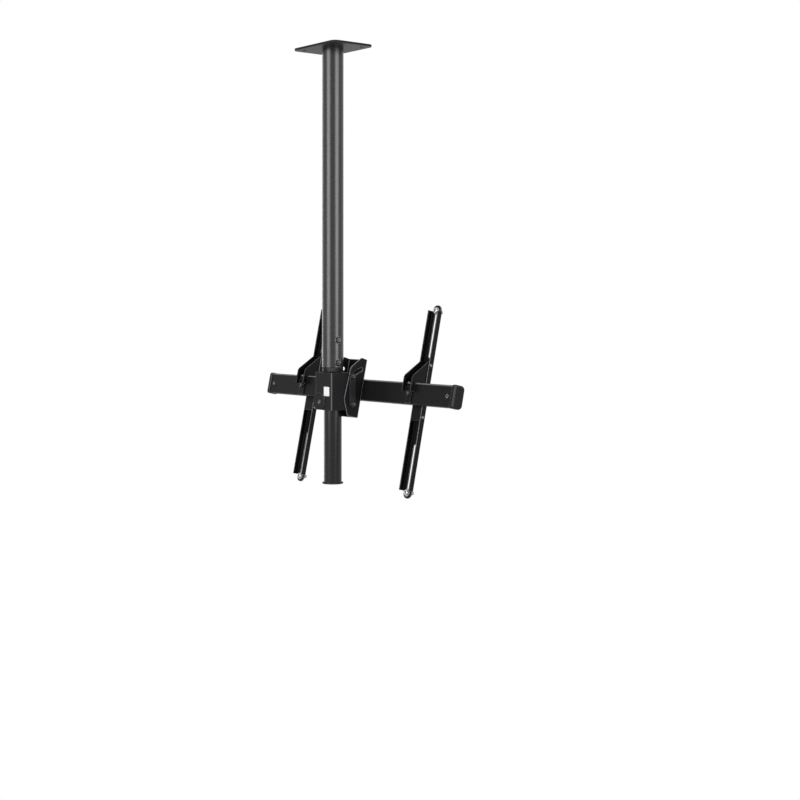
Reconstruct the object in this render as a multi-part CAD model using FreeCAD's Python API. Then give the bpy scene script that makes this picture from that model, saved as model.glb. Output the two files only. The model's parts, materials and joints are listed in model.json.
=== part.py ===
import FreeCAD, Part
import math
import os

# Telescopic ceiling pole mount for a flat screen, in millimetres.
# Origin: centre of the ceiling plate's top face. +Z up, the cross rail lies along X, the screen side is +Y.
# The tilting half is drawn upright in its own frame, whose origin is the middle of the rail's front face,
# and is then leaned by the tilt it rests at.

# Ceiling plate with the spigot that carries the pole
plate_width = 160.0
plate_depth = 110.0
plate_thick = 5.0
plate_corner = 14.0
ceiling_hole_spacing_x = 120.0
ceiling_hole_spacing_y = 70.0
ceiling_hole_dia = 9.0
spigot_length = 75.0
spigot_wall = 3.0
weld_leg = 4.0

# Telescopic pole
outer_dia = 48.0
outer_wall = 2.0
outer_length = 712.0
guide_wall = 2.0
inner_wall = 2.0
inner_overlap = 400.0
inner_tail = 162.0
guide_sleeve_length = 78.0
guide_flange_height = 11.5
guide_flange_inset = 0.5
upper_guide_length = 40.0
upper_guide_lip = 3.0
end_cap_rim = 3.5
end_cap_flange_thick = 3.5
end_cap_plug_length = 22.0
end_cap_wall = 2.0

# Screws: M8 everywhere except where named
thread_dia = 8.0
small_thread_dia = 6.0
clearance_hole_dia = 8.6
pan_head_dia = 14.0
pan_head_height = 4.2
pan_socket_flats = 5.0
nut_flats = 13.0
nut_height = 6.5
insert_body_dia = 11.0
insert_flange_dia = 16.0
insert_flange_thick = 1.2
insert_length = 12.0
pole_screw_first = 22.0
pole_screw_pitch = 32.0
clamp_screw_first = 9.5
clamp_screw_pitch = 51.0
clamp_screw_turn = -6.5

# Swivel housing, a casting that is open towards the rail
housing_side_room = 4.8
housing_front_room = 0.4
housing_back = 36.0
housing_height = 83.5
housing_wall = 3.0
housing_floor = 6.0
housing_edge_radius = 4.0
housing_back_radius = 8.0
lock_boss_dia = 41.0
lock_boss_rise = 2.0
lock_boss_depth = 12.0
lock_boss_x = -13.5
lock_boss_above_base = 18.0
lock_recess_dia = 12.0
lock_recess_depth = 1.0
swivel_bush_wall = 2.2
swivel_bush_rim = 0.9
swivel_bush_flange_thick = 2.0
collar_wall = 3.0
collar_height = 14.0
collar_screw_angle = 45.0
shoe_width = 24.0
shoe_height = 18.0
shoe_depth = 15.0

# Tilt bracket, its screws and straps
rest_tilt = 12.0
tilt_travel = 25.0
cheek_thick = 3.0
cheek_edge = 6.8
cheek_top_rise = 24.5
cheek_nose_length = 18.5
cheek_belly = 4.0
cheek_foot_drop = 28.0
cheek_top_slope = 2.0
bend_radius = 5.0
tilt_screw_y = 27.7
tilt_upper_drop = 9.0
tilt_lower_drop = 70.5
tilt_pivot_y = 73.5
tilt_pivot_drop = 60.6
strap_width = 16.0
strap_thick = 3.0
rail_bolt_x = 18.0
rail_bolt_upper = 8.0
rail_bolt_lower = -11.0

# Cross rail
rail_reach = 59.5
rail_drop = 39.6
rail_length = 671.0
rail_height = 48.0
rail_depth = 26.0
rail_wall = 2.0
rail_front_radius = 4.0
rail_back_radius = 8.0
rail_cap_length = 11.0
rail_cap_proud = 1.5
rail_plug_length = 36.0
rail_cap_edge = 4.5
cap_screw_from_end = 12.5
cap_screw_head_dia = 7.0
cap_screw_head_depth = 2.0
cap_screw_length = 10.0
cap_screw_dia = 4.0

# Screen arms and the hooks that hang them on the rail
arm_spacing = 400.0
arm_width = 34.0
arm_depth = 14.0
arm_wall = 2.0
arm_web = 2.5
arm_bend_radius = 3.0
arm_inner_radius = 1.0
screen_pitch = 400.0
screen_screw_top = 189.0
flange_short_of_low_screw = 3.0
tongue_past_screw = 13.0
arm_slot_length = 100.0
hook_plate = 2.2
hook_above_rail = 51.0
hook_below_rail = 31.0
hook_lip_width = 11.0
hook_lip_drop = 21.0
hook_corner_radius = 10.0
hook_inner_radius = 4.0
hook_shoulder = 12.0
hook_edge_radius = 2.0
cover_height = 33.0
lip_bridge_height = 11.0
lock_strip_width = 17.0
lock_strip_short_of_rail = 2.0
lock_screw_below_lip = 4.0
lock_head_dia = 13.0
lock_head_height = 4.0
rivet_dia = 4.0
rivet_head_dia = 7.0
rivet_head_height = 1.4
rivet_from_hook_end = 8.0
screen_screw_reach = 14.0
rolled_shank_dia = 7.2
screen_head_dia = 13.0
screen_head_height = 5.0
washer_dia = 17.0
washer_thick = 1.6

# Clearances
press_gap = 0.05
running_gap = 0.1
plate_gap = 0.3
hook_gap = 0.5
lip_gap = 1.0
housing_gap = 0.5

# Shares of a piece's own size that its rounded and hollowed ends take
head_round = 0.45
socket_floor = 0.45
grub_socket_floor = 0.5
nut_crown = 0.96
guide_rim_round = 0.2
cap_rim_round = 0.3
rivet_round = 0.6
full_round = 0.98
tongue_round = 0.9

Vector = FreeCAD.Vector
X_AXIS = Vector(1, 0, 0)
Y_AXIS = Vector(0, 1, 0)
Z_AXIS = Vector(0, 0, 1)
sides = {"left": -1, "right": 1}
same = 1e-4
least_corner = 0.5

# Heights and radii that follow from the sizes above
pole_top = -plate_thick
outer_end = pole_top - outer_length
housing_top = outer_end - guide_flange_height - housing_gap
housing_base = housing_top - housing_height
inner_top = outer_end + inner_overlap
inner_end = housing_base - inner_tail
outer_r = outer_dia / 2
outer_bore_r = outer_r - outer_wall
inner_r = outer_bore_r - guide_wall
inner_bore_r = inner_r - inner_wall
guide_flange_r = outer_r - guide_flange_inset
end_cap_r = inner_r + end_cap_rim
collar_r = inner_r + collar_wall
bush_r = inner_r + running_gap + swivel_bush_wall
bush_flange_r = bush_r + swivel_bush_rim
housing_front = bush_flange_r + housing_front_room + housing_wall
housing_half = bush_flange_r + housing_side_room + housing_wall
thread_r = thread_dia / 2 - press_gap
hole_r = clearance_hole_dia / 2
tilt_screw_z = {"upper": housing_top - tilt_upper_drop, "lower": housing_top - tilt_lower_drop}
tilt_pivot_z = housing_top - tilt_pivot_drop
rail_z = housing_top - rail_drop
cheek_in = housing_half + plate_gap
cheek_out = cheek_in + cheek_thick
strap_in = cheek_out + plate_gap
strap_out = strap_in + strap_thick
arm_front = rail_depth + plate_gap
screen_y = arm_front + arm_depth
web_inside = screen_y - arm_web
screen_screw_low = screen_screw_top - screen_pitch
hook_half = arm_width / 2 - arm_wall - press_gap


def save(name, shape):
    """Write one node; a group of like pieces is a compound of separate solids."""
    shape.exportStep(os.path.join("parts", name + ".step"))


def leaned(shape):
    """Carry a shape from the upright rail frame to where it rests on the pole."""
    turn = FreeCAD.Rotation(X_AXIS, -rest_tilt)
    copy = shape.copy()
    copy.Placement = FreeCAD.Placement(Vector(0, rail_reach, rail_z), turn).multiply(copy.Placement)
    return copy


def rail_frame(y, z):
    """Give a point of the pole's YZ plane in the upright rail frame."""
    lean = math.radians(rest_tilt)
    dy = y - rail_reach
    dz = z - rail_z
    return dy * math.cos(lean) - dz * math.sin(lean), dy * math.sin(lean) + dz * math.cos(lean)


def aimed(shape, base, direction):
    """Turn a shape drawn along +Z to a direction, and set its origin on base."""
    copy = shape.copy()
    copy.Placement = FreeCAD.Placement(base, FreeCAD.Rotation(Z_AXIS, direction)).multiply(copy.Placement)
    return copy


def rod(radius, base, direction, length):
    return Part.makeCylinder(radius, length, base, direction)


def box(low, high):
    size = high - low
    return Part.makeBox(size.x, size.y, size.z, low)


def tube(radius, bore, low, high):
    base = Vector(0, 0, low)
    return rod(radius, base, Z_AXIS, high - low).cut(rod(bore, base, Z_AXIS, high - low))


def fused(first, *others):
    return first.multiFuse(list(others)).removeSplitter()


def outline(corners, place):
    """Close a wire through (u, v, radius) corners, each rounded by its own radius."""
    count = len(corners)
    starts = []
    ends = []
    middles = []
    for i in range(count):
        u, v, radius = corners[i]
        point = Vector(u, v, 0)
        back = Vector(corners[i - 1][0], corners[i - 1][1], 0) - point
        ahead = Vector(corners[(i + 1) % count][0], corners[(i + 1) % count][1], 0) - point
        back.normalize()
        ahead.normalize()
        half = back.getAngle(ahead) / 2
        reach = radius / math.tan(half)
        bisector = back + ahead
        bisector.normalize()
        starts.append(point + back * reach)
        ends.append(point + ahead * reach)
        middles.append(point + bisector * (radius / math.sin(half) - radius))
    edges = []
    for i in range(count):
        if corners[i][2] > 0:
            arc = Part.Arc(*(place(p.x, p.y) for p in (starts[i], middles[i], ends[i])))
            edges.append(arc.toShape())
        start = ends[i]
        end = starts[(i + 1) % count]
        edges.append(Part.LineSegment(place(start.x, start.y), place(end.x, end.y)).toShape())
    return Part.Wire(edges)


def plate_yz(corners, x_low, x_high):
    """Extrude a rounded outline in Y and Z along X."""
    wire = outline(corners, lambda y, z: Vector(x_low, y, z))
    return Part.Face(wire).extrude(X_AXIS * (x_high - x_low))


def block_xz(corners, y_low, y_high):
    """Extrude a rounded outline in X and Z along Y."""
    wire = outline(corners, lambda x, z: Vector(x, y_low, z))
    return Part.Face(wire).extrude(Y_AXIS * (y_high - y_low))


def prism_xy(corners, z_low, z_high):
    """Extrude a rounded outline in X and Y along Z."""
    wire = outline(corners, lambda x, y: Vector(x, y, z_low))
    return Part.Face(wire).extrude(Z_AXIS * (z_high - z_low))


def long_slot(x, z_low, z_high, radius, y_low, y_high):
    """Straight slot with round ends, its ends' centres at z_low and z_high."""
    depth = y_high - y_low
    middle = box(Vector(x - radius, y_low, z_low), Vector(x + radius, y_high, z_high))
    ends = [rod(radius, Vector(x, y_low, z), Y_AXIS, depth) for z in (z_low, z_high)]
    return middle.multiFuse(ends)


def arc_slot(centre, radius, start, end, half_width, x_low, x_high):
    """Slot along an arc in the YZ plane, with round ends; angles in radians."""
    def point(r, angle):
        return Vector(x_low, centre[0] + r * math.cos(angle), centre[1] + r * math.sin(angle))

    mid = (start + end) / 2
    cap = half_width / radius * (1 if end > start else -1)
    far = radius + half_width
    near = radius - half_width
    edges = [
        Part.Arc(point(far, start), point(far, mid), point(far, end)).toShape(),
        Part.Arc(point(far, end), point(radius, end + cap), point(near, end)).toShape(),
        Part.Arc(point(near, end), point(near, mid), point(near, start)).toShape(),
        Part.Arc(point(near, start), point(radius, start - cap), point(far, start)).toShape(),
    ]
    return Part.Face(Part.Wire(edges)).extrude(X_AXIS * (x_high - x_low))


def hexagon(flats, height):
    """Hexagonal prism along +Z from the origin."""
    radius = flats / math.sqrt(3)
    points = [Vector(radius * math.cos(math.radians(60 * i)), radius * math.sin(math.radians(60 * i)), 0)
              for i in range(7)]
    return Part.Face(Part.makePolygon(points)).extrude(Z_AXIS * height)


def nut(flats, height, radius):
    """Hexagonal nut along +Z, its corners turned off at the outer end."""
    blank = hexagon(flats, height)
    corner = flats / math.sqrt(3)
    cone = Part.makeCone(corner + height, flats / 2 * nut_crown, height, Vector(0, 0, 0), Z_AXIS)
    return blank.common(cone).cut(rod(radius, Vector(0, 0, 0), Z_AXIS, height))


def pan_screw(radius, shank, head_dia, head_height, socket):
    """Pan-head socket screw: the head stands on +Z, the shank goes down from the origin."""
    head = rod(head_dia / 2, Vector(0, 0, 0), Z_AXIS, head_height)
    rim = [e for e in head.Edges if abs(e.CenterOfMass.z - head_height) < same and e.Length > head_dia]
    head = head.makeFillet(head_height * head_round, rim)
    head = head.cut(aimed(hexagon(socket, head_height), Vector(0, 0, head_height * socket_floor), Z_AXIS))
    return fused(head, rod(radius, Vector(0, 0, -shank), Z_AXIS, shank))


def grub_screw(radius, length, socket):
    """Headless screw along +Z from the origin, with a hexagonal socket at its outer end."""
    body = rod(radius, Vector(0, 0, 0), Z_AXIS, length)
    return body.cut(aimed(hexagon(socket, length), Vector(0, 0, length * grub_socket_floor), Z_AXIS))


def along(angle):
    """Unit vector in the XY plane."""
    return Vector(math.cos(math.radians(angle)), math.sin(math.radians(angle)), 0)


def rounded_rectangle(width, depth, radius):
    half_w = width / 2
    half_d = depth / 2
    return [(-half_w, -half_d, radius), (half_w, -half_d, radius),
            (half_w, half_d, radius), (-half_w, half_d, radius)]


# Ceiling plate: a flat plate with the spigot welded under it
def ceiling_plate():
    plate = prism_xy(rounded_rectangle(plate_width, plate_depth, plate_corner), pole_top, 0)
    spigot_r = outer_bore_r - running_gap
    spigot = tube(spigot_r, spigot_r - spigot_wall, pole_top - spigot_length, pole_top)
    weld_inside = Part.makeCone(spigot_r - spigot_wall, spigot_r - spigot_wall - weld_leg, weld_leg,
                                Vector(0, 0, pole_top - weld_leg), Z_AXIS)
    weld = rod(spigot_r - spigot_wall, Vector(0, 0, pole_top - weld_leg), Z_AXIS, weld_leg).cut(weld_inside)
    shape = fused(plate, spigot, weld)
    for x in (-ceiling_hole_spacing_x / 2, ceiling_hole_spacing_x / 2):
        for y in (-ceiling_hole_spacing_y / 2, ceiling_hole_spacing_y / 2):
            shape = shape.cut(rod(ceiling_hole_dia / 2, Vector(x, y, pole_top), Z_AXIS, plate_thick))
    for z in pole_screw_heights():
        shape = shape.cut(rod(hole_r, Vector(-outer_r, 0, z), X_AXIS, outer_r))
    return shape


def pole_screw_heights():
    first = pole_top - pole_screw_first
    return [first, first - pole_screw_pitch]


# Screws that hold the pole on the spigot, with nuts welded inside it
def pole_screws():
    reach = outer_r - (outer_bore_r - running_gap - spigot_wall) + nut_height
    screw = pan_screw(thread_r, reach, pan_head_dia, pan_head_height, pan_socket_flats)
    return Part.makeCompound([aimed(screw, Vector(-outer_r, 0, z), -X_AXIS) for z in pole_screw_heights()])


def spigot_nuts():
    # A flat nut meets the round bore at its own half width from the axis.
    bore = outer_bore_r - running_gap - spigot_wall
    seat = math.sqrt(bore ** 2 - (nut_flats / 2) ** 2)
    piece = nut(nut_flats, nut_height, thread_r + press_gap)
    nuts = [aimed(piece, Vector(-seat, 0, z), X_AXIS) for z in pole_screw_heights()]
    limit = rod(bore, Vector(0, 0, pole_top - spigot_length), Z_AXIS, spigot_length)
    return Part.makeCompound([n.common(limit) for n in nuts])


# Outer pole: a plain round tube, drilled for the screws at both ends
def clamp_screw_heights():
    first = outer_end + clamp_screw_first
    return [first, first + clamp_screw_pitch]


def outer_pole():
    shape = tube(outer_r, outer_bore_r, outer_end, pole_top)
    for z in pole_screw_heights():
        shape = shape.cut(rod(hole_r, Vector(-outer_r - outer_wall, 0, z), X_AXIS, outer_r))
    for z in clamp_screw_heights():
        hole = rod(insert_body_dia / 2 + press_gap, Vector(0, 0, z), along(clamp_screw_turn), outer_dia)
        shape = shape.cut(hole)
    return shape


# Lower guide: a moulded sleeve in the end of the outer pole, with a flange that hides the cut edge
def lower_guide():
    bore = inner_r + running_gap
    sleeve = tube(outer_bore_r - press_gap, bore, outer_end, outer_end + guide_sleeve_length)
    flange = tube(guide_flange_r, bore, outer_end - guide_flange_height, outer_end)
    rims = [e for e in flange.Edges if abs(e.Length - 2 * math.pi * guide_flange_r) < same]
    flange = flange.makeFillet(guide_flange_height * guide_rim_round, rims)
    shape = fused(sleeve, flange)
    for z in clamp_screw_heights():
        hole = rod(insert_body_dia / 2 + running_gap, Vector(0, 0, z), along(clamp_screw_turn), outer_dia)
        shape = shape.cut(hole)
    return shape


# Clamp screws: each turns in a threaded insert and presses on the inner pole
def clamp_inserts():
    pieces = []
    for z in clamp_screw_heights():
        axis = along(clamp_screw_turn)
        start = axis * (inner_r + plate_gap) + Vector(0, 0, z)
        body = rod(insert_body_dia / 2, start, axis, outer_r + insert_flange_thick - inner_r - plate_gap)
        flange = rod(insert_flange_dia / 2, start, axis, outer_r + insert_flange_thick - inner_r - plate_gap)
        flange = flange.cut(rod(outer_r, Vector(0, 0, z - outer_dia), Z_AXIS, 2 * outer_dia))
        insert = fused(body, flange)
        pieces.append(insert.cut(rod(thread_r + press_gap, Vector(0, 0, z), axis, outer_dia)))
    return Part.makeCompound(pieces)


def clamp_screws():
    seat = outer_r + insert_flange_thick
    shank = seat - inner_r - running_gap
    screw = pan_screw(thread_r, shank, pan_head_dia, pan_head_height, pan_socket_flats)
    axis = along(clamp_screw_turn)
    return Part.makeCompound([aimed(screw, axis * seat + Vector(0, 0, z), axis)
                              for z in clamp_screw_heights()])


# Inner pole, its guide inside the outer pole and the cap on its lower end
def guide_rivet_height():
    return inner_top - upper_guide_length / 2


def inner_pole():
    shape = tube(inner_r, inner_bore_r, inner_end, inner_top)
    hole = rod(rivet_dia / 2 + press_gap, Vector(-outer_r, 0, guide_rivet_height()), X_AXIS, outer_dia)
    return shape.cut(hole)


def upper_guide():
    guide_r = outer_bore_r - running_gap
    sleeve = tube(guide_r, inner_r + press_gap, inner_top - upper_guide_length, inner_top)
    lip = tube(guide_r, inner_bore_r, inner_top, inner_top + upper_guide_lip)
    shape = fused(sleeve, lip)
    hole = rod(rivet_dia / 2 + press_gap, Vector(-outer_r, 0, guide_rivet_height()), X_AXIS, outer_dia)
    return shape.cut(hole)


def guide_rivets():
    reach = outer_bore_r - running_gap - inner_bore_r
    pieces = []
    for side in sides.values():
        start = Vector(side * inner_bore_r, 0, guide_rivet_height())
        pieces.append(rod(rivet_dia / 2, start, X_AXIS * side, reach - running_gap))
    return Part.makeCompound(pieces)


def pole_end_cap():
    flange = rod(end_cap_r, Vector(0, 0, inner_end - end_cap_flange_thick), Z_AXIS,
                 end_cap_flange_thick)
    rims = [e for e in flange.Edges if abs(e.Length - 2 * math.pi * end_cap_r) < same]
    flange = flange.makeFillet(end_cap_flange_thick * cap_rim_round, rims)
    plug_r = inner_bore_r - press_gap
    plug = tube(plug_r, plug_r - end_cap_wall, inner_end, inner_end + end_cap_plug_length)
    return fused(flange, plug)


# Support collar: a steel ring set on the inner pole, which the housing hangs on and turns round
def collar_top():
    return housing_top - housing_floor - swivel_bush_flange_thick


def support_collar():
    shape = tube(collar_r, inner_r + press_gap, collar_top() - collar_height, collar_top())
    middle = Vector(0, 0, collar_top() - collar_height / 2)
    for angle in collar_screw_angles():
        hole = rod(small_thread_dia / 2, middle, along(angle), 2 * collar_r)
        shape = shape.cut(hole)
    return shape


def collar_screw_angles():
    return [90 - collar_screw_angle, 90 + collar_screw_angle]


def collar_screws():
    length = collar_wall - 2 * press_gap
    screw = grub_screw(small_thread_dia / 2 - press_gap, length, small_thread_dia / 2)
    height = Vector(0, 0, collar_top() - collar_height / 2)
    return Part.makeCompound([aimed(screw, along(a) * (inner_r + press_gap) + height, along(a))
                              for a in collar_screw_angles()])


# Swivel housing: front, two sides and two bored floors in one casting
def lock_point():
    return Vector(lock_boss_x, -housing_front - lock_boss_rise, housing_base + lock_boss_above_base)


def swivel_housing():
    inside = housing_half - housing_wall
    plan = [(-housing_half, -housing_front, housing_edge_radius),
            (housing_half, -housing_front, housing_edge_radius),
            (housing_half, housing_back, 0), (-housing_half, housing_back, 0)]
    shell = prism_xy(plan, housing_base, housing_top)
    side_view = [(-housing_front, housing_base, 0), (housing_back, housing_base, housing_back_radius),
                 (housing_back, housing_top, housing_back_radius), (-housing_front, housing_top, 0)]
    shell = shell.common(plate_yz(side_view, -housing_half, housing_half))
    boss = rod(lock_boss_dia / 2, lock_point(), Y_AXIS, lock_boss_depth)
    reach = 2 * housing_half
    boss = boss.common(box(Vector(-reach, -reach, housing_base), Vector(reach, reach, housing_top)))
    shell = fused(shell, boss)
    room = box(Vector(-inside, -housing_front + housing_wall, housing_base + housing_floor),
               Vector(inside, housing_back, housing_top - housing_floor))
    shell = shell.cut(room)
    # The floors end in a half circle behind the pole, clear of the tilt nuts.
    behind = box(Vector(-inside, 0, housing_base), Vector(inside, housing_back, housing_top))
    keep = rod(inside, Vector(0, 0, housing_base), Z_AXIS, housing_height)
    shell = shell.cut(behind.cut(keep))
    bore = rod(bush_r + press_gap, Vector(0, 0, housing_base), Z_AXIS, housing_height)
    shell = shell.cut(bore)
    shell = shell.cut(rod(thread_r + press_gap, lock_point(), Y_AXIS, housing_front))
    shell = shell.cut(rod(lock_recess_dia / 2, lock_point(), Y_AXIS, lock_recess_depth))
    for z in tilt_screw_z.values():
        shell = shell.cut(rod(thread_r + press_gap, Vector(-reach, tilt_screw_y, z), X_AXIS, 2 * reach))
    return shell


# Swivel bushes: moulded sleeves in the two floors, each with a flange inside the housing
def swivel_bush(floor_low, floor_high, flange_low):
    bore = inner_r + running_gap
    sleeve = tube(bush_r, bore, floor_low, floor_high)
    flange = tube(bush_flange_r, bore, flange_low, flange_low + swivel_bush_flange_thick)
    return fused(sleeve, flange)


# Swivel lock: a socket set screw in the front boss pushes a curved shoe against the inner pole
def shoe_front():
    return -housing_front + housing_wall + plate_gap


def swivel_lock_screw():
    length = housing_front + lock_boss_rise + shoe_front() - lock_recess_depth
    tip = Vector(lock_boss_x, shoe_front(), lock_point().z)
    return aimed(grub_screw(thread_r, length, thread_dia / 2), tip, -Y_AXIS)


def brake_shoe():
    centre = lock_point()
    low = Vector(lock_boss_x - shoe_width / 2, shoe_front(), centre.z - shoe_height / 2)
    high = Vector(lock_boss_x + shoe_width / 2, shoe_front() + shoe_depth, centre.z + shoe_height / 2)
    pole = rod(inner_r + running_gap, Vector(0, 0, housing_base), Z_AXIS, housing_height)
    inside = housing_half - housing_wall - plate_gap
    room = box(Vector(-inside, -housing_front, housing_base), Vector(inside, housing_back, housing_top))
    shoe = box(low, high).common(room).cut(pole)
    return max(shoe.Solids, key=lambda s: s.Volume)


# Tilt bracket: one plate folded to a channel, its cheeks on arc slots about the tilt axis
def slot_path(name):
    """Give the radius and the start and end angles of a tilt slot in the rail frame."""
    pivot = rail_frame(tilt_pivot_y, tilt_pivot_z)
    screw = rail_frame(tilt_screw_y, tilt_screw_z[name])
    dy = screw[0] - pivot[0]
    dz = screw[1] - pivot[1]
    start = math.atan2(dz, dy) % (2 * math.pi)
    return pivot, math.hypot(dy, dz), start, start - math.radians(tilt_travel)


def tilt_bracket():
    pivot, upper_radius, start, end = slot_path("upper")
    upper = rail_frame(tilt_screw_y, tilt_screw_z["upper"])
    lower = rail_frame(tilt_screw_y, tilt_screw_z["lower"])
    slot_far_z = pivot[1] + upper_radius * math.sin(end)
    top = slot_far_z + cheek_top_rise
    foot = lower[1] - cheek_foot_drop
    side_view = [
        (0, foot, 0), (0, top, 0),
        (-cheek_nose_length, top + cheek_top_slope, cheek_edge),
        (upper[0] - cheek_edge, slot_far_z, 2 * cheek_edge),
        (upper[0] - cheek_edge - cheek_belly, lower[1] + cheek_edge, 2 * cheek_edge),
        (lower[0] - cheek_edge, foot, cheek_edge),
    ]
    front = -2 * cheek_out
    inner_radius = bend_radius - cheek_thick
    fold = [(-cheek_out, front, 0), (-cheek_in, front, 0), (-cheek_in, -cheek_thick, inner_radius),
            (cheek_in, -cheek_thick, inner_radius), (cheek_in, front, 0), (cheek_out, front, 0),
            (cheek_out, 0, bend_radius), (-cheek_out, 0, bend_radius)]
    channel = prism_xy(fold, foot - cheek_edge, top + cheek_edge)
    shape = channel.common(plate_yz(side_view, -cheek_out, cheek_out))
    for name in tilt_screw_z:
        centre, radius, start, end = slot_path(name)
        shape = shape.cut(arc_slot(centre, radius, start, end, hole_r, -2 * cheek_out, 2 * cheek_out))
    for x, z in rail_bolt_places():
        shape = shape.cut(rod(hole_r, Vector(x, -cheek_thick, z), Y_AXIS, cheek_thick))
    return leaned(shape)


def rail_bolt_places():
    return [(x, z) for x in (-rail_bolt_x, rail_bolt_x) for z in (rail_bolt_lower, rail_bolt_upper)]


# Tilt screws, nuts and straps: they stay on the housing while the cheeks slide past
def tilt_screws():
    shank = strap_out - housing_half + housing_wall + nut_height
    screw = pan_screw(thread_r, shank, pan_head_dia, pan_head_height, pan_socket_flats)
    return Part.makeCompound([aimed(screw, Vector(side * strap_out, tilt_screw_y, z), X_AXIS * side)
                              for side in sides.values() for z in tilt_screw_z.values()])


def tilt_nuts():
    piece = nut(nut_flats, nut_height, thread_r + press_gap)
    inside = housing_half - housing_wall
    return Part.makeCompound([aimed(piece, Vector(side * inside, tilt_screw_y, z), X_AXIS * -side)
                              for side in sides.values() for z in tilt_screw_z.values()])


def tilt_strap(side):
    half = strap_width / 2
    top = tilt_screw_z["upper"] + half
    base = tilt_screw_z["lower"] - half
    round_end = half * full_round
    low, high = sorted((side * strap_in, side * strap_out))
    view = [(tilt_screw_y - half, base, round_end), (tilt_screw_y + half, base, round_end),
            (tilt_screw_y + half, top, round_end), (tilt_screw_y - half, top, round_end)]
    shape = plate_yz(view, low, high)
    for z in tilt_screw_z.values():
        shape = shape.cut(rod(thread_r + press_gap, Vector(low, tilt_screw_y, z), X_AXIS, strap_thick))
    return shape


# Cross rail: a hollow section with tight corners in front and full ones behind
def rail_section(inset):
    half = rail_height / 2 - inset
    front = max(rail_front_radius - inset, least_corner)
    back = max(rail_back_radius - inset, least_corner)
    return [(inset, -half, front), (inset, half, front), (rail_depth - inset, half, back),
            (rail_depth - inset, -half, back)]


def cross_rail():
    half = rail_length / 2
    shape = plate_yz(rail_section(0), -half, half).cut(plate_yz(rail_section(rail_wall), -half, half))
    for x, z in rail_bolt_places():
        shape = shape.cut(rod(insert_body_dia / 2 + press_gap, Vector(x, 0, z), Y_AXIS, rail_wall))
    for side in sides.values():
        x = side * (half - cap_screw_from_end)
        shape = shape.cut(cap_screw_cone(x, press_gap)).cut(
            rod(cap_screw_dia / 2 + press_gap, Vector(x, 0, 0), Y_AXIS, rail_wall))
    return leaned(shape)


def rail_inserts():
    pieces = []
    for x, z in rail_bolt_places():
        body = rod(insert_body_dia / 2, Vector(x, 0, z), Y_AXIS, insert_length)
        bulge = rod(insert_flange_dia / 2, Vector(x, rail_wall, z), Y_AXIS, insert_flange_thick)
        insert = fused(body, bulge)
        pieces.append(insert.cut(rod(thread_r + press_gap, Vector(x, 0, z), Y_AXIS, insert_length)))
    return leaned(Part.makeCompound(pieces))


def rail_bolts():
    screw = pan_screw(thread_r, cheek_thick + insert_length, pan_head_dia, pan_head_height, pan_socket_flats)
    return leaned(Part.makeCompound([aimed(screw, Vector(x, -cheek_thick, z), -Y_AXIS)
                                     for x, z in rail_bolt_places()]))


# End caps: a moulded cap with a hollow plug, held by one countersunk screw
def cap_screw_cone(x, gap):
    small = cap_screw_dia / 2 + gap
    wide = cap_screw_head_dia / 2 + gap
    return Part.makeCone(wide, small, cap_screw_head_depth, Vector(x, 0, 0), Y_AXIS)


def rail_cap(side):
    half = rail_length / 2
    start, end = sorted((side * half, side * (half + rail_cap_length)))
    cover = plate_yz(rail_section(-rail_cap_proud), start, end)
    face_x = side * (half + rail_cap_length)
    rim = [e for e in cover.Edges if abs(e.CenterOfMass.x - face_x) < same
           and abs(e.BoundBox.XMax - e.BoundBox.XMin) < same]
    cover = cover.makeFillet(rail_cap_edge, rim)
    low, high = sorted((side * half, side * (half - rail_plug_length)))
    inset = rail_wall + press_gap
    plug = plate_yz(rail_section(inset), low, high).cut(plate_yz(rail_section(inset + rail_wall), low, high))
    shape = fused(cover, plug)
    x = side * (half - cap_screw_from_end)
    return leaned(shape.cut(rod(cap_screw_dia / 2 + press_gap, Vector(x, 0, 0), Y_AXIS, rail_depth / 2)))


def cap_screws():
    pieces = []
    for side in sides.values():
        x = side * (rail_length / 2 - cap_screw_from_end)
        shank = rod(cap_screw_dia / 2, Vector(x, 0, 0), Y_AXIS, cap_screw_length)
        pieces.append(fused(cap_screw_cone(x, 0), shank))
    return leaned(Part.makeCompound(pieces))


# Screen arms: folded channels open towards the pole, slotted for the screen's screws
def arm_x(side):
    return side * arm_spacing / 2


def screen_arm(side):
    half = arm_width / 2
    flange_top = screen_screw_top
    flange_low = screen_screw_low + flange_short_of_low_screw
    inside = half - arm_wall
    section = [(-half, arm_front, 0), (-inside, arm_front, 0), (-inside, web_inside, arm_inner_radius),
               (inside, web_inside, arm_inner_radius), (inside, arm_front, 0), (half, arm_front, 0),
               (half, screen_y, arm_bend_radius), (-half, screen_y, arm_bend_radius)]
    channel = prism_xy(section, flange_low, flange_top)
    tongue_half = half - arm_bend_radius
    tongue_top = screen_screw_top + tongue_past_screw
    tongue_low = screen_screw_low - tongue_past_screw
    corner = tongue_half * tongue_round
    tongue = block_xz([(-tongue_half, tongue_low, corner), (tongue_half, tongue_low, corner),
                       (tongue_half, tongue_top, corner), (-tongue_half, tongue_top, corner)],
                      web_inside, screen_y)
    shape = fused(channel, tongue)
    for low, high in arm_slots():
        shape = shape.cut(long_slot(0, low, high, hole_r, web_inside - arm_wall, screen_y + arm_wall))
    for z in rivet_heights():
        shape = shape.cut(rivet_hole(z))
    shape.translate(Vector(arm_x(side), 0, 0))
    return leaned(shape)


def arm_slots():
    return [(screen_screw_top - arm_slot_length, screen_screw_top),
            (screen_screw_low, screen_screw_low + arm_slot_length)]


# Hook brackets: two hooked cheeks, a cover and a lock strip in one folded plate, riveted inside the arm
def hook_top():
    return rail_height / 2 + hook_above_rail


def hook_low():
    return -rail_height / 2 - hook_below_rail


def rivet_heights():
    return [hook_top() - rivet_from_hook_end, hook_low() + rivet_from_hook_end]


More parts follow.
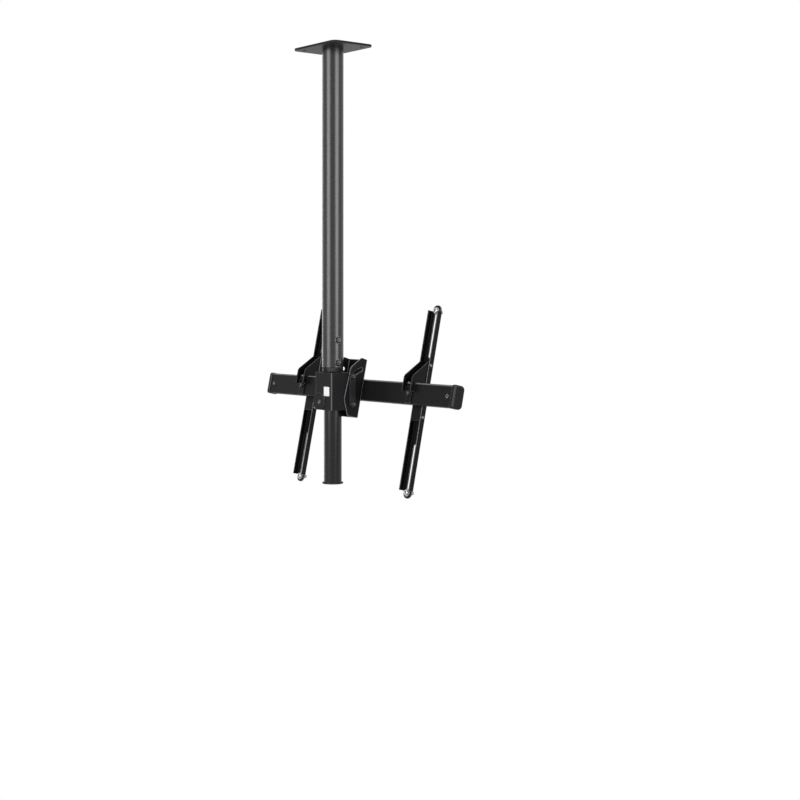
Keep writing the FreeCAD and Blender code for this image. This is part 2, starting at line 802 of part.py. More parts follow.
def rivet_y():
    return (arm_front + web_inside) / 2


def rivet_hole(z):
    return rod(rivet_dia / 2 + press_gap, Vector(-arm_width, rivet_y(), z), X_AXIS, 2 * arm_width)


def lip_front():
    return -lip_gap - hook_lip_width


def lip_low():
    return rail_height / 2 + hook_gap - hook_lip_drop


def hook_bracket(side):
    over = rail_height / 2 + hook_gap
    back = web_inside - arm_inner_radius
    side_view = [
        (arm_front, hook_low(), 0), (arm_front, over, 0), (-lip_gap, over, hook_inner_radius),
        (-lip_gap, lip_low(), hook_edge_radius), (lip_front(), lip_low(), hook_edge_radius),
        (lip_front(), over + hook_shoulder, hook_corner_radius), (arm_front, hook_top(), hook_corner_radius),
        (back, hook_top(), hook_edge_radius), (back, hook_low(), hook_edge_radius),
    ]
    cover_top = hook_low() + cover_height
    shape = box(Vector(-hook_half, arm_front, hook_low()),
                Vector(hook_half, arm_front + hook_plate, cover_top))
    for x_side in sides.values():
        low, high = sorted((x_side * hook_half, x_side * (hook_half - hook_plate)))
        shape = shape.fuse(plate_yz(side_view, low, high))
    inside = hook_half - hook_plate
    bridge_top = lip_low() + lip_bridge_height
    bridge = box(Vector(-inside, strip_front(), lip_low()), Vector(inside, -lip_gap, bridge_top))
    strip_half = lock_strip_width / 2
    strip_low = lock_strip_short_of_rail - rail_height / 2
    strip = block_xz([(-strip_half, strip_low, hook_edge_radius), (strip_half, strip_low, hook_edge_radius),
                      (strip_half, bridge_top, 0), (-strip_half, bridge_top, 0)], strip_front(), -lip_gap)
    shape = fused(shape, bridge, strip)
    lock_start = Vector(0, lip_front(), lock_screw_z())
    shape = shape.cut(rod(small_thread_dia / 2, lock_start, Y_AXIS, hook_lip_width))
    for z in rivet_heights():
        shape = shape.cut(rivet_hole(z))
    shape.translate(Vector(arm_x(side), 0, 0))
    return leaned(shape)


def strip_front():
    return -lip_gap - hook_plate


def lock_screw_z():
    return lip_low() - lock_screw_below_lip


def hook_lock_screw(side):
    seat = strip_front()
    screw = pan_screw(small_thread_dia / 2 - press_gap, -seat - running_gap, lock_head_dia, lock_head_height,
                      small_thread_dia / 2)
    return leaned(aimed(screw, Vector(arm_x(side), seat, lock_screw_z()), -Y_AXIS))


def hook_rivets(side):
    inner = hook_half - hook_plate
    pieces = []
    for x_side in sides.values():
        for z in rivet_heights():
            shank = rod(rivet_dia / 2, Vector(x_side * inner, rivet_y(), z), X_AXIS * x_side,
                        arm_width / 2 - inner)
            head = rod(rivet_head_dia / 2, Vector(x_side * arm_width / 2, rivet_y(), z), X_AXIS * x_side,
                       rivet_head_height)
            outer_x = arm_width / 2 + rivet_head_height
            rim = [e for e in head.Edges if abs(abs(e.CenterOfMass.x) - outer_x) < same]
            head = head.makeFillet(rivet_head_height * rivet_round, rim)
            pieces.append(fused(shank, head))
    group = Part.makeCompound(pieces)
    group.translate(Vector(arm_x(side), 0, 0))
    return leaned(group)


# Screen screws and washers: they stand out of the arm on the screen side
def screen_screws(side):
    # The thread is rolled, so the plain shank in the grip is thinner than the thread.
    grip = washer_thick + arm_web
    blank = pan_screw(rolled_shank_dia / 2, grip, screen_head_dia, screen_head_height, pan_socket_flats)
    thread = rod(thread_r, Vector(0, 0, -grip - screen_screw_reach), Z_AXIS, screen_screw_reach)
    screw = fused(blank, thread)
    seat = web_inside - washer_thick
    return leaned(Part.makeCompound([aimed(screw, Vector(arm_x(side), seat, z), -Y_AXIS)
                                     for z in (screen_screw_top, screen_screw_low)]))


def screen_washers(side):
    pieces = []
    for z in (screen_screw_top, screen_screw_low):
        base = Vector(arm_x(side), web_inside - washer_thick, z)
        ring = rod(washer_dia / 2, base, Y_AXIS, washer_thick)
        pieces.append(ring.cut(rod(hole_r, base, Y_AXIS, washer_thick)))
    return leaned(Part.makeCompound(pieces))


os.makedirs("parts", exist_ok=True)
save("ceiling_plate", ceiling_plate())
save("pole_screws", pole_screws())
save("spigot_nuts", spigot_nuts())
save("outer_pole", outer_pole())
save("lower_guide", lower_guide())
save("clamp_inserts", clamp_inserts())
save("clamp_screws", clamp_screws())
save("inner_pole", inner_pole())
save("upper_guide", upper_guide())
save("guide_rivets", guide_rivets())
save("pole_end_cap", pole_end_cap())
save("support_collar", support_collar())
save("collar_screws", collar_screws())
save("swivel_housing", swivel_housing())
upper_floor = housing_top - housing_floor
lower_floor = housing_base + housing_floor
save("upper_swivel_bush", swivel_bush(upper_floor, housing_top, upper_floor - swivel_bush_flange_thick))
save("lower_swivel_bush", swivel_bush(housing_base, lower_floor, lower_floor))
save("swivel_lock_screw", swivel_lock_screw())
save("brake_shoe", brake_shoe())
save("tilt_bracket", tilt_bracket())
save("tilt_screws", tilt_screws())
save("tilt_nuts", tilt_nuts())
save("cross_rail", cross_rail())
save("rail_inserts", rail_inserts())
save("rail_bolts", rail_bolts())
save("rail_cap_screws", cap_screws())
for name, side in sides.items():
    save(name + "_tilt_strap", tilt_strap(side))
    save(name + "_rail_cap", rail_cap(side))
    save(name + "_arm", screen_arm(side))
    save(name + "_hook_bracket", hook_bracket(side))
    save(name + "_hook_lock_screw", hook_lock_screw(side))
    save(name + "_hook_rivets", hook_rivets(side))
    save(name + "_screen_screws", screen_screws(side))
    save(name + "_screen_washers", screen_washers(side))
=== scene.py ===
import json
import math

import bmesh
import bpy
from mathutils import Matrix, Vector


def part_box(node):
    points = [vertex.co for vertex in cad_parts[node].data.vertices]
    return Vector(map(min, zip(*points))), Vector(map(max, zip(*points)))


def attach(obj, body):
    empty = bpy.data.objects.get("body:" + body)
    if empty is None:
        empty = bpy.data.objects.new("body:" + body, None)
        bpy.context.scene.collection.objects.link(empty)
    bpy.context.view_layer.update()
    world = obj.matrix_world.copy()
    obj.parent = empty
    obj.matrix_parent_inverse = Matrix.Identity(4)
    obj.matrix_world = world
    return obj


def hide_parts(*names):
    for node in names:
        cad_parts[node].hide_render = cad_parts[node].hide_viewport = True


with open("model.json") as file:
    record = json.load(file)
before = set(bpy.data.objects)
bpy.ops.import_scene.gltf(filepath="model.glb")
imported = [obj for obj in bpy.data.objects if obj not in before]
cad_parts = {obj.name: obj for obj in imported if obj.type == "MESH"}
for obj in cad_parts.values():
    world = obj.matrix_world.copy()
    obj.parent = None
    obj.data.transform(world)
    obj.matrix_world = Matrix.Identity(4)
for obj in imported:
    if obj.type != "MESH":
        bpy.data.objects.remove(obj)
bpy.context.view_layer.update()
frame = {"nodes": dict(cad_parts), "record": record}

# Ceiling plate: a flat steel plate with rounded corners and four holes for the ceiling fixings.
# It is cut, welded to the spigot that carries the pole, and powder coated satin black in one go.
coated_edge = 0.0004
coat_dark = 0.8
coat_pale = 1.25
coat_spread = 0.12
coat_relief = 0.0004
weld_gap = 0.000002
flat_angle = math.radians(0.4)
sharp_angle = math.radians(35)


def feed(tree, socket, value):
    """Set a socket to a plain number, or link it to the socket that is given."""
    if isinstance(value, float):
        socket.default_value = value
    else:
        tree.links.new(value, socket)


def add_math(tree, operation, *values):
    """Math on sockets or plain numbers."""
    node = tree.nodes.new("ShaderNodeMath")
    node.operation = operation
    for socket, value in zip(node.inputs, values):
        feed(tree, socket, value)
    return node.outputs["Value"]


def add_range(tree, value, low, high, start=0.0):
    """Map a value that runs from low to high so that it runs from start to one, and hold it there."""
    node = tree.nodes.new("ShaderNodeMapRange")
    node.inputs["From Min"].default_value = low
    node.inputs["From Max"].default_value = high
    node.inputs["To Min"].default_value = start
    tree.links.new(value, node.inputs["Value"])
    return node.outputs["Result"]


def add_noise(tree, scale, detail, roughness=0.5):
    """Noise that stays where it is on the piece, with its scale in bumps per metre."""
    place = tree.nodes.new("ShaderNodeTexCoord")
    noise = tree.nodes.new("ShaderNodeTexNoise")
    feed(tree, noise.inputs["Scale"], scale)
    noise.inputs["Detail"].default_value = detail
    noise.inputs["Roughness"].default_value = roughness
    tree.links.new(place.outputs["Object"], noise.inputs["Vector"])
    return noise.outputs["Fac"]


def new_group(name, inputs, outputs):
    """Start a shader node group of plain values, and return its tree, what it is given and what it makes."""
    tree = bpy.data.node_groups.new(name, "ShaderNodeTree")
    for label, value in inputs.items():
        socket = tree.interface.new_socket(name=label, in_out="INPUT", socket_type="NodeSocketFloat")
        socket.default_value = value
    for label in outputs:
        tree.interface.new_socket(name=label, in_out="OUTPUT", socket_type="NodeSocketFloat")
    return tree, tree.nodes.new("NodeGroupInput").outputs, tree.nodes.new("NodeGroupOutput").inputs


def add_group(tree, group, values):
    """Place a node group in a material with its own values, and return what it makes."""
    node = tree.nodes.new("ShaderNodeGroup")
    node.node_tree = group
    for label, value in values.items():
        node.inputs[label].default_value = value
    return node.outputs


def add_mix(tree, factor, first, second):
    """Mix two colours, the first of which may be a socket."""
    node = tree.nodes.new("ShaderNodeMix")
    node.data_type = "RGBA"
    tree.links.new(factor, node.inputs["Factor"])
    if isinstance(first, bpy.types.NodeSocket):
        tree.links.new(first, node.inputs["A"])
    else:
        node.inputs["A"].default_value = (*first, 1)
    node.inputs["B"].default_value = (*second, 1)
    return node.outputs["Result"]


def make_coat_grain():
    """Orange peel of a baked coat: fine bumps, with a slow drift in how matt the coat came out."""
    tree, given, made = new_group("coat_grain", {"Bumps per metre": 900.0, "Matt": 0.4,
                                                 "Matt spread": coat_spread},
                                  ["Height", "Roughness", "Drift"])
    height = add_noise(tree, scale=given["Bumps per metre"], detail=3.0, roughness=0.55)
    drift = add_noise(tree, scale=9.0, detail=4.0)
    centred = add_math(tree, "SUBTRACT", drift, 0.5)
    matt = add_math(tree, "MULTIPLY_ADD", centred, given["Matt spread"], given["Matt"])
    tree.links.new(height, made["Height"])
    tree.links.new(matt, made["Roughness"])
    tree.links.new(drift, made["Drift"])
    return tree


def make_edge_wear_and_highlight():
    """Thin, broken pale line along outer edges: partly wear, where handling rubs a coat paler, and partly a
    painted highlight where light would catch the edge.
    """
    tree, given, made = new_group("edge_wear_and_highlight", {"Width": 0.0010, "Amount": 0.5}, ["Edge"])
    rounded = tree.nodes.new("ShaderNodeBevel")
    rounded.samples = 6
    flat = tree.nodes.new("ShaderNodeNewGeometry")
    facing = tree.nodes.new("ShaderNodeVectorMath")
    facing.operation = "DOT_PRODUCT"
    tree.links.new(given["Width"], rounded.inputs["Radius"])
    tree.links.new(rounded.outputs["Normal"], facing.inputs[0])
    tree.links.new(flat.outputs["Normal"], facing.inputs[1])
    bent = add_range(tree, facing.outputs["Value"], low=0.99, high=0.80)
    breaks = add_noise(tree, scale=120.0, detail=3.0)
    broken = add_range(tree, breaks, low=0.35, high=0.62, start=0.55)
    line = add_math(tree, "MULTIPLY", bent, broken)
    tree.links.new(add_math(tree, "MULTIPLY", line, given["Amount"]), made["Edge"])
    return tree


def make_painted_corner_highlight():
    """Painted highlight: a light line along rolled or folded corners that face up or outwards, where light
    from above would catch them.
    """
    tree, given, made = new_group("painted_corner_highlight", {"Amount": 0.0}, ["Corner"])
    place = tree.nodes.new("ShaderNodeTexCoord")
    split = tree.nodes.new("ShaderNodeSeparateXYZ")
    tree.links.new(place.outputs["Normal"], split.inputs[0])
    facing = split.outputs
    slants = [add_math(tree, "ABSOLUTE", add_math(tree, "MULTIPLY", facing[first], facing[second]))
              for first, second in (("X", "Y"), ("Y", "Z"), ("X", "Z"))]
    slant = add_math(tree, "ADD", add_math(tree, "ADD", slants[0], slants[1]), slants[2])
    round_part = add_range(tree, slant, low=0.30, high=0.44)
    upper = add_range(tree, facing["Z"], low=-0.40, high=-0.20)
    both = add_math(tree, "MULTIPLY", round_part, upper)
    tree.links.new(add_math(tree, "MULTIPLY", both, given["Amount"]), made["Corner"])
    return tree


coat_grain = make_coat_grain()
edge_wear_and_highlight = make_edge_wear_and_highlight()
painted_corner_highlight = make_painted_corner_highlight()


def grained_finish(name, low, high, matt, spread, bumps, bump_depth, bump_height):
    """Start a material with fine relief and a slow drift between two tones, and return it and its tone."""
    material = bpy.data.materials.new(name)
    material.use_nodes = True
    tree = material.node_tree
    skin = tree.nodes["Principled BSDF"].inputs
    grain = add_group(tree, coat_grain, {"Bumps per metre": bumps, "Matt": matt, "Matt spread": spread})
    bump = tree.nodes.new("ShaderNodeBump")
    bump.inputs["Strength"].default_value = bump_depth
    bump.inputs["Distance"].default_value = bump_height
    tree.links.new(grain["Height"], bump.inputs["Height"])
    tree.links.new(bump.outputs["Normal"], skin["Normal"])
    tree.links.new(grain["Roughness"], skin["Roughness"])
    return material, add_mix(tree, grain["Drift"], low, high)


def black_finish(name, colour, rubbed_and_highlight, matt, bumps, bump_depth, rub_and_highlight=0.5, gloss=0.5, corner=0.0):
    """Black coat or moulding: its grain, its slow drift in colour, its paler edges from wear and painted
    highlight, and a painted highlight on corners that face up.
    """
    low = [level * coat_dark for level in colour]
    high = [level * coat_pale for level in colour]
    material, tone = grained_finish(name, low, high, matt, coat_spread, bumps, bump_depth, coat_relief)
    tree = material.node_tree
    skin = tree.nodes["Principled BSDF"].inputs
    skin["Specular IOR Level"].default_value = gloss
    # Paler edges: partly wear, partly a painted highlight where light would catch them.
    edge = add_group(tree, edge_wear_and_highlight, {"Amount": rub_and_highlight})
    # Painted highlight on rounded corners that face up or outwards, mixed in as a paler colour.
    corner_highlight = add_group(tree, painted_corner_highlight, {"Amount": corner})
    wear_and_highlight = add_math(tree, "MAXIMUM", edge["Edge"], corner_highlight["Corner"])
    tree.links.new(add_mix(tree, wear_and_highlight, tone, rubbed_and_highlight), skin["Base Color"])
    return material


def dress(material, edge_radius, *nodes, edge=None):
    """Give CAD nodes their finish, and break their sharp edges, which may have their own."""
    for node in nodes:
        piece = frame["nodes"][node]
        piece.data.materials.clear()
        piece.data.materials.append(material)
        if edge_radius == 0.0:
            continue
        weld = piece.modifiers.new("one_skin", "WELD")
        weld.merge_threshold = weld_gap
        flat = piece.modifiers.new("flat_faces", "DECIMATE")
        flat.decimate_type = "DISSOLVE"
        flat.angle_limit = flat_angle
        soft = piece.modifiers.new("broken_edges", "BEVEL")
        soft.width = edge_radius
        soft.segments = 2
        soft.limit_method = "ANGLE"
        soft.angle_limit = sharp_angle
        soft.use_clamp_overlap = False
        if edge is not None:
            piece.data.materials.append(edge)
            soft.material = 1
        shading = piece.modifiers.new("flat_shading", "WEIGHTED_NORMAL")
        shading.weight = 100


satin_black = black_finish("satin_black_coat", colour=(0.009, 0.009, 0.010), rubbed_and_highlight=(0.10, 0.10, 0.105),
                           matt=0.42, bumps=1100.0, bump_depth=0.10, gloss=0.1)
dress(satin_black, coated_edge, "ceiling_plate")

# Outer pole: a welded steel tube with a smooth satin coat, pushed over the spigot and screwed to it.
# The two screws have nuts inside the spigot; their heads stand on the left of the pole.
as_cut = 0.0
screw_edge = 0.00015
cloud_dark = 0.75
cloud_spread = 0.25
cloud_depth = 0.05
cloud_relief = 0.0003
pole_black = black_finish("pole_coat", colour=(0.006, 0.006, 0.0065), rubbed_and_highlight=(0.05, 0.05, 0.055),
                          matt=0.28, bumps=700.0, bump_depth=0.01, gloss=0.5)
# Black oxide: its edges are painted almost white, as painted glints on socket and rim as well as wear.
black_oxide = black_finish("black_oxide", colour=(0.003, 0.003, 0.0035), rubbed_and_highlight=(0.9, 0.9, 0.9),
                           matt=0.10, bumps=2400.0, bump_depth=0.03, rub_and_highlight=1.0, gloss=0.3)
dress(pole_black, as_cut, "outer_pole")
dress(black_oxide, screw_edge, "pole_screws")


def clouded_finish(name, colour, matt, bumps, metal):
    """Zinc plate, bare steel or vinyl: a slightly cloudy colour over a fine grain."""
    low = [level * cloud_dark for level in colour]
    material, tone = grained_finish(name, low, colour, matt, cloud_spread, bumps, cloud_depth, cloud_relief)
    tree = material.node_tree
    skin = tree.nodes["Principled BSDF"].inputs
    skin["Metallic"].default_value = metal
    tree.links.new(tone, skin["Base Color"])
    return material


zinc_plate = clouded_finish("zinc_plate", colour=(0.55, 0.55, 0.54), matt=0.26, bumps=1500.0, metal=1.0)
dress(zinc_plate, screw_edge, "spigot_nuts")

# Lower guide and clamp: a moulded sleeve with a rounded ring hides the pole's cut end.
# Two black pan-head screws run through threaded inserts and press on the inner pole.
moulded_edge = 0.0003
# Its corner value sets the painted highlight on corners that face up or outwards.
moulded_black = black_finish("moulded_black", colour=(0.006, 0.006, 0.0065), rubbed_and_highlight=(0.10, 0.10, 0.10),
                             matt=0.42, bumps=2200.0, bump_depth=0.12, rub_and_highlight=0.6, gloss=0.1, corner=0.3)
dress(moulded_black, moulded_edge, "lower_guide")
dress(black_oxide, screw_edge, "clamp_inserts", "clamp_screws")

# Inner pole: a thinner tube with the same coat, which slides in the guides and carries the head.
# A riveted guide keeps its top straight, a collar holds the head, and a flanged cap shuts its end.
grub_edge = 0.0001
inner_black = black_finish("inner_pole_coat", colour=(0.005, 0.005, 0.0055), rubbed_and_highlight=(0.05, 0.05, 0.055),
                           matt=0.19, bumps=700.0, bump_depth=0.01, gloss=0.27)
dress(inner_black, as_cut, "inner_pole")
dress(moulded_black, moulded_edge, "upper_guide", "pole_end_cap")
dress(zinc_plate, screw_edge, "guide_rivets", "support_collar")
dress(black_oxide, grub_edge, "collar_screws")

# Swivel housing: a die casting with a grained black coat, open at the back, bored for the pole.
# Moulded bushes line its floors, and a set screw in the front boss presses the brake shoe on the pole.
cast_edge = 0.0003
bush_edge = 0.0002
# Its corner value sets the painted highlight on corners that face up or outwards, such as the upper rim of
# the boss.
grained_black = black_finish("grained_casting", colour=(0.009, 0.009, 0.010), rubbed_and_highlight=(0.14, 0.14, 0.145),
                             matt=0.45, bumps=800.0, bump_depth=0.45, rub_and_highlight=0.5, gloss=0.08, corner=0.6)
dress(grained_black, cast_edge, "swivel_housing")
dress(moulded_black, bush_edge, "upper_swivel_bush", "lower_swivel_bush", "brake_shoe")
dress(black_oxide, grub_edge, "swivel_lock_screw")

# Blank label: a white vinyl square stuck on the front of the housing, right of its middle.
# It is die cut with round corners and lies a hair proud of the coat.
label_size = 0.0205
label_corner = 0.0015
label_corner_steps = 6
label_thick = 0.00015
label_edge_shrink = 0.004
label_edge_height = 0.7
label_centre_x = 0.0128
label_centre_z = -0.7705
boss_rise = 0.002
label_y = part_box("swivel_housing")[0][1] + boss_rise


def rounded_square(size, corner, steps):
    """Corner points of a square with round corners, counter-clockwise, centred on the origin."""
    points = []
    for turn in range(4):
        middle = math.pi / 4 + turn * math.pi / 2
        reach = (size / 2 - corner) * math.sqrt(2)
        for step in range(steps + 1):
            angle = turn * math.pi / 2 + step / steps * math.pi / 2
            points.append((reach * math.cos(middle) + corner * math.cos(angle),
                           reach * math.sin(middle) + corner * math.sin(angle)))
    return points


def finish_mesh(mesh, name):
    """Turn a drawn mesh into a piece of the scene."""
    bmesh.ops.recalc_face_normals(mesh, faces=mesh.faces)
    data = bpy.data.meshes.new(name)
    mesh.to_mesh(data)
    mesh.free()
    piece = bpy.data.objects.new(name, data)
    bpy.context.scene.collection.objects.link(piece)
    return piece


def skin_rings(mesh, rings):
    """Join rings of corners, one after the other, and close both ends."""
    for low, high in zip(rings, rings[1:]):
        for i in range(len(low)):
            j = (i + 1) % len(low)
            mesh.faces.new((low[i], low[j], high[j], high[i]))
    mesh.faces.new(rings[-1])
    mesh.faces.new(list(reversed(rings[0])))


def make_label():
    """Flat plate with a slightly rounded upper edge."""
    mesh = bmesh.new()
    outline = rounded_square(label_size, label_corner, label_corner_steps)
    rings = []
    for scale, lift in ((1, 0), (1, label_edge_height), (1 - label_edge_shrink, 1)):
        rings.append([mesh.verts.new((label_centre_x + x * scale, label_y - label_thick * lift,
                                      label_centre_z + z * scale)) for x, z in outline])
    skin_rings(mesh, rings)
    return finish_mesh(mesh, "blank_label")


white_vinyl = clouded_finish("white_vinyl", colour=(0.80, 0.80, 0.79), matt=0.42, bumps=600.0, metal=0.0)
blank_label = make_label()
blank_label.data.materials.append(white_vinyl)
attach(blank_label, "swivel_head")

# Tilt bracket: one folded steel plate with two slotted cheeks, coated satin black after folding.
# Straps over the cheeks spread the load of the four pan-head tilt screws; their nuts sit in the housing.
fold_edge = 0.0008
# Its corner value sets the painted highlight on the fold and on corners that face up.
fold_black = black_finish("fold_coat", colour=(0.006, 0.006, 0.0065), rubbed_and_highlight=(0.20, 0.20, 0.205),
                          matt=0.38, bumps=1000.0, bump_depth=0.12, rub_and_highlight=0.9, gloss=0.08, corner=0.8)
strap_black = black_finish("strap_coat", colour=(0.013, 0.013, 0.014), rubbed_and_highlight=(0.12, 0.12, 0.125),
                           matt=0.34, bumps=1000.0, bump_depth=0.08, rub_and_highlight=0.6, gloss=0.25)
# Paler colour on bevelled edges: partly a thin coat at the edge, partly a painted highlight where these
# edges catch light.
edge_highlight_coat = black_finish("thin_coat_and_highlight_edge", colour=(0.13, 0.13, 0.135), rubbed_and_highlight=(0.22, 0.22, 0.22),
                         matt=0.30, bumps=900.0, bump_depth=0.10, gloss=0.3)
dress(fold_black, fold_edge, "tilt_bracket", edge=edge_highlight_coat)
dress(strap_black, coated_edge, "left_tilt_strap", "right_tilt_strap")
dress(black_oxide, screw_edge, "tilt_screws")
dress(zinc_plate, screw_edge, "tilt_nuts")

# Cross rail: a rolled hollow steel section, bolted through the bracket's web into threaded inserts.
# Moulded caps plug its ends, each held by one small countersunk screw.
cap_edge = 0.0007
dress(fold_black, coated_edge, "cross_rail")
dress(moulded_black, cap_edge, "left_rail_cap", "right_rail_cap", edge=edge_highlight_coat)
dress(zinc_plate, as_cut, "rail_inserts")
dress(black_oxide, as_cut, "rail_cap_screws")
dress(black_oxide, screw_edge, "rail_bolts")

# Arms: folded steel channels, open towards the pole, with long slots for the mounting screws.
# A hooked bracket, left with its sheared edges, is riveted inside each one.
# Its lips hang on the rail, and a screw locks them there.
sheet_edge = 0.0007
sheet_black = black_finish("sheet_coat", colour=(0.005, 0.005, 0.0055), rubbed_and_highlight=(0.20, 0.20, 0.205),
                           matt=0.38, bumps=1000.0, bump_depth=0.12, rub_and_highlight=1.0, gloss=0.08)
dull_steel = clouded_finish("dull_steel", colour=(0.16, 0.16, 0.155), matt=0.38, bumps=1500.0, metal=1.0)
for side in ("left", "right"):
    dress(sheet_black, sheet_edge, side + "_arm", edge=edge_highlight_coat)
    dress(sheet_black, as_cut, side + "_hook_bracket")
    dress(dull_steel, as_cut, side + "_hook_rivets")
    dress(black_oxide, grub_edge, side + "_hook_lock_screw")

# Mounting screws: zinc plated pan-head socket screws with flat washers, rolled with an M8 thread.
# They pass through the arms' slots and stand out on the side away from the pole.
dress(zinc_plate, screw_edge, "left_screen_washers", "right_screen_washers")
studs = next(mount for mount in frame["record"]["mounts"] if mount["name"] == "screen_studs")
stud_pitch = studs["dims"]["pcd_mm"] / 1000 / math.sqrt(2)
stud_axis = Vector(studs["axis"])
stud_side = Vector((1, 0, 0))
stud_up = stud_side.cross(stud_axis)
grip = 0.0041
head_radius = 0.0065
head_height = 0.005
head_round = 0.0022
head_round_steps = 6
head_rim = 0.0002
socket_half = 0.0025
socket_depth = 0.0032
socket_mouth = socket_half * 1.2
socket_chamfer = 0.0003
shank_radius = 0.0036
shank_fillet = 0.0003
thread_outer = 0.00393
thread_inner = 0.00332
thread_pitch = 0.00125
thread_length = 0.014
flank_slope = 1.5
root_flat = 0.2
thread_run_in = 0.001
thread_run_out = 0.0014
tip_radius = 0.0029
round_steps = 48
rings_per_turn = 9
smooth_angle = math.radians(40)


def hexagon_radius(angle):
    """Distance from the middle of the socket to its wall."""
    return socket_half / math.cos((angle + math.pi / 6) % (math.pi / 3) - math.pi / 6)


def thread_radius(along, angle):
    """Rolled thread: flat crests and flat roots on a right-hand helix, run out at both ends."""
    turn = (along / thread_pitch - angle / (2 * math.pi)) % 1
    crest = min(max(flank_slope * (1 - abs(2 * turn - 1)) - root_flat, 0), 1)
    radius = thread_inner + (thread_outer - thread_inner) * crest
    run_in = min(along / thread_run_in, 1)
    run_out = min((thread_length - along) / thread_run_out, 1)
    radius = shank_radius + (radius - shank_radius) * run_in
    return tip_radius + (radius - tip_radius) * run_out


def screw_rings():
    """Rings of the screw from the floor of its socket to its tip, as heights and radii by angle."""
    top = -grip - head_height
    rings = [(top + socket_depth, hexagon_radius), (top + socket_chamfer, hexagon_radius),
             (top, lambda angle: socket_mouth), (top, lambda angle: head_radius - head_round)]
    for step in range(1, head_round_steps + 1):
        turn = step / head_round_steps * math.pi / 2
        rings.append((top + head_round * (1 - math.cos(turn)),
                      lambda angle, r=head_radius - head_round * (1 - math.sin(turn)): r))
    rings += [(-grip - head_rim, lambda angle: head_radius), (-grip, lambda angle: head_radius - head_rim),
              (-grip, lambda angle: shank_radius + shank_fillet),
              (-grip + shank_fillet, lambda angle: shank_radius)]
    count = round(thread_length / thread_pitch * rings_per_turn)
    for step in range(count + 1):
        height = thread_length * step / count
        rings.append((height, lambda angle, h=height: thread_radius(h, angle)))
    return rings


def make_screws(name, x):
    """Upper and lower screw of one arm, placed by the record's pattern of studs."""
    mesh = bmesh.new()
    for z in (-stud_pitch / 2, stud_pitch / 2):
        base = Vector(studs["pos_m"]) + stud_side * x + stud_up * z
        rings = []
        for height, radius in screw_rings():
            ring = []
            for step in range(round_steps):
                angle = 2 * math.pi * step / round_steps
                ring.append(mesh.verts.new(base + stud_axis * height + radius(angle) * (
                    stud_side * math.cos(angle) + stud_axis.cross(stud_side) * math.sin(angle))))
            rings.append(ring)
        skin_rings(mesh, rings)
    piece = finish_mesh(mesh, name)
    piece.data.shade_smooth()
    piece.data.set_sharp_from_angle(angle=smooth_angle)
    return piece


for side, x in (("left", -stud_pitch / 2), ("right", stud_pitch / 2)):
    screws = make_screws(side + "_threaded_screws", x)
    screws.data.materials.append(zinc_plate)
    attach(screws, side + "_arm_set")
    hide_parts(side + "_screen_screws")

# Stage: a wide, pale floor, 2.4 m below the ceiling as in a room.
# It takes the mount's shadow near the pole, and fades to plain white further out.
floor_z = -2.4
floor_half = 40
fade_start = 0.8
fade_end = 2.0
floor_data = bpy.data.meshes.new("floor")
floor_corners = [(x * floor_half, y * floor_half, floor_z)
                 for x, y in ((-1, -1), (1, -1), (1, 1), (-1, 1))]
floor_data.from_pydata(floor_corners, [], [(0, 1, 2, 3)])
floor = bpy.data.objects.new("floor", floor_data)
bpy.context.scene.collection.objects.link(floor)
pale_floor = bpy.data.materials.new("pale_floor")
pale_floor.use_nodes = True
floor_tree = pale_floor.node_tree
floor_skin = floor_tree.nodes["Principled BSDF"]
floor_skin.inputs["Base Color"].default_value = (0.86, 0.86, 0.86, 1)
floor_skin.inputs["Roughness"].default_value = 0.9
floor_white = floor_tree.nodes.new("ShaderNodeEmission")
floor_place = floor_tree.nodes.new("ShaderNodeNewGeometry")
floor_reach = floor_tree.nodes.new("ShaderNodeVectorMath")
floor_reach.operation = "DISTANCE"
floor_reach.inputs[1].default_value = (0, 0, floor_z)
floor_mix = floor_tree.nodes.new("ShaderNodeMixShader")
floor_tree.links.new(floor_place.outputs["Position"], floor_reach.inputs[0])
floor_fade = add_range(floor_tree, floor_reach.outputs["Value"], low=fade_start, high=fade_end)
floor_tree.links.new(floor_fade, floor_mix.inputs["Fac"])
floor_tree.links.new(floor_skin.outputs["BSDF"], floor_mix.inputs[1])
floor_tree.links.new(floor_white.outputs["Emission"], floor_mix.inputs[2])
floor_tree.links.new(floor_mix.outputs["Shader"], floor_tree.nodes["Material Output"].inputs["Surface"])
floor_data.materials.append(pale_floor)

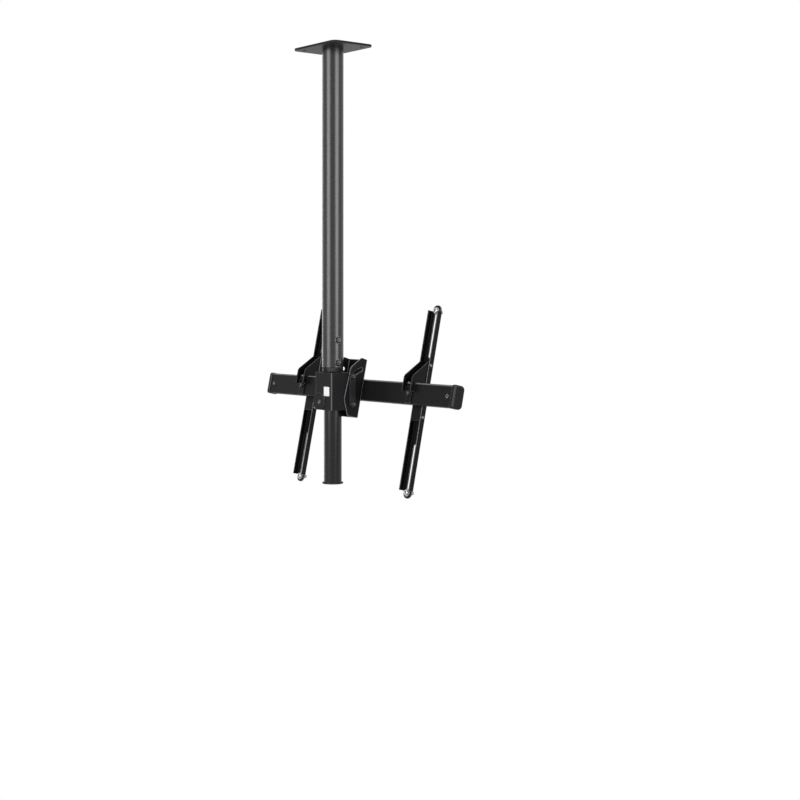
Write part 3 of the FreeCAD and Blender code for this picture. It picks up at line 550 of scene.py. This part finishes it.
# World: white to the camera, in reflections and through clear things.
# To everything else it is a dimmer even light.
dim_level = 0.1
world = bpy.data.worlds.new("studio")
bpy.context.scene.world = world
world.use_nodes = True
sky = world.node_tree
sky_light = sky.nodes["Background"]
sky_light.inputs["Color"].default_value = (1, 1, 1, 1)
rays = sky.nodes.new("ShaderNodeLightPath").outputs
seen = add_math(sky, "ADD", rays["Is Camera Ray"], rays["Is Glossy Ray"])
shown = add_math(sky, "ADD", seen, rays["Is Transmission Ray"])
sky.links.new(add_range(sky, shown, low=0.0, high=1.0, start=dim_level), sky_light.inputs["Strength"])

# Lamps: a tall soft box on each side of the camera, a narrow one at the far left, and one overhead.
# All of them face one point on the pole's axis, a little below the middle of the mount.
aim = Vector((0, 0, -0.6))


def soft_box(name, place, width, height, power):
    """Rectangular lamp that faces the point they all share."""
    lamp = bpy.data.lights.new(name, "AREA")
    lamp.shape = "RECTANGLE"
    lamp.size = width
    lamp.size_y = height
    lamp.energy = power
    holder = bpy.data.objects.new(name, lamp)
    holder.location = place
    holder.rotation_euler = (aim - Vector(place)).to_track_quat("-Z", "Y").to_euler()
    bpy.context.scene.collection.objects.link(holder)


soft_box("left_box", (0.3, -2.7, -0.05), width=1.6, height=1.9, power=60)
soft_box("right_box", (2.7, 0.35, -0.05), width=1.6, height=1.9, power=60)
soft_box("rim_box", (-2.6, 0.0, -0.3), width=0.5, height=2.0, power=10)
soft_box("top_box", (0.4, -0.4, 2.2), width=2.0, height=2.0, power=25)

# Camera: level, about half a metre below the ceiling, facing the front of the housing from its right.
# The lens is shifted down and not tilted, so the poles stay upright in the picture.
eye = bpy.data.cameras.new("camera")
eye.sensor_width = 36.0
eye.lens = 66.87
eye.shift_y = -0.1229
camera = bpy.data.objects.new("camera", eye)
camera.location = (2.6860, -1.9724, -0.571)
camera.rotation_euler = (math.radians(90), 0, math.radians(51.12))
bpy.context.scene.collection.objects.link(camera)
bpy.context.scene.camera = camera
bpy.context.scene.view_settings.view_transform = "Standard"
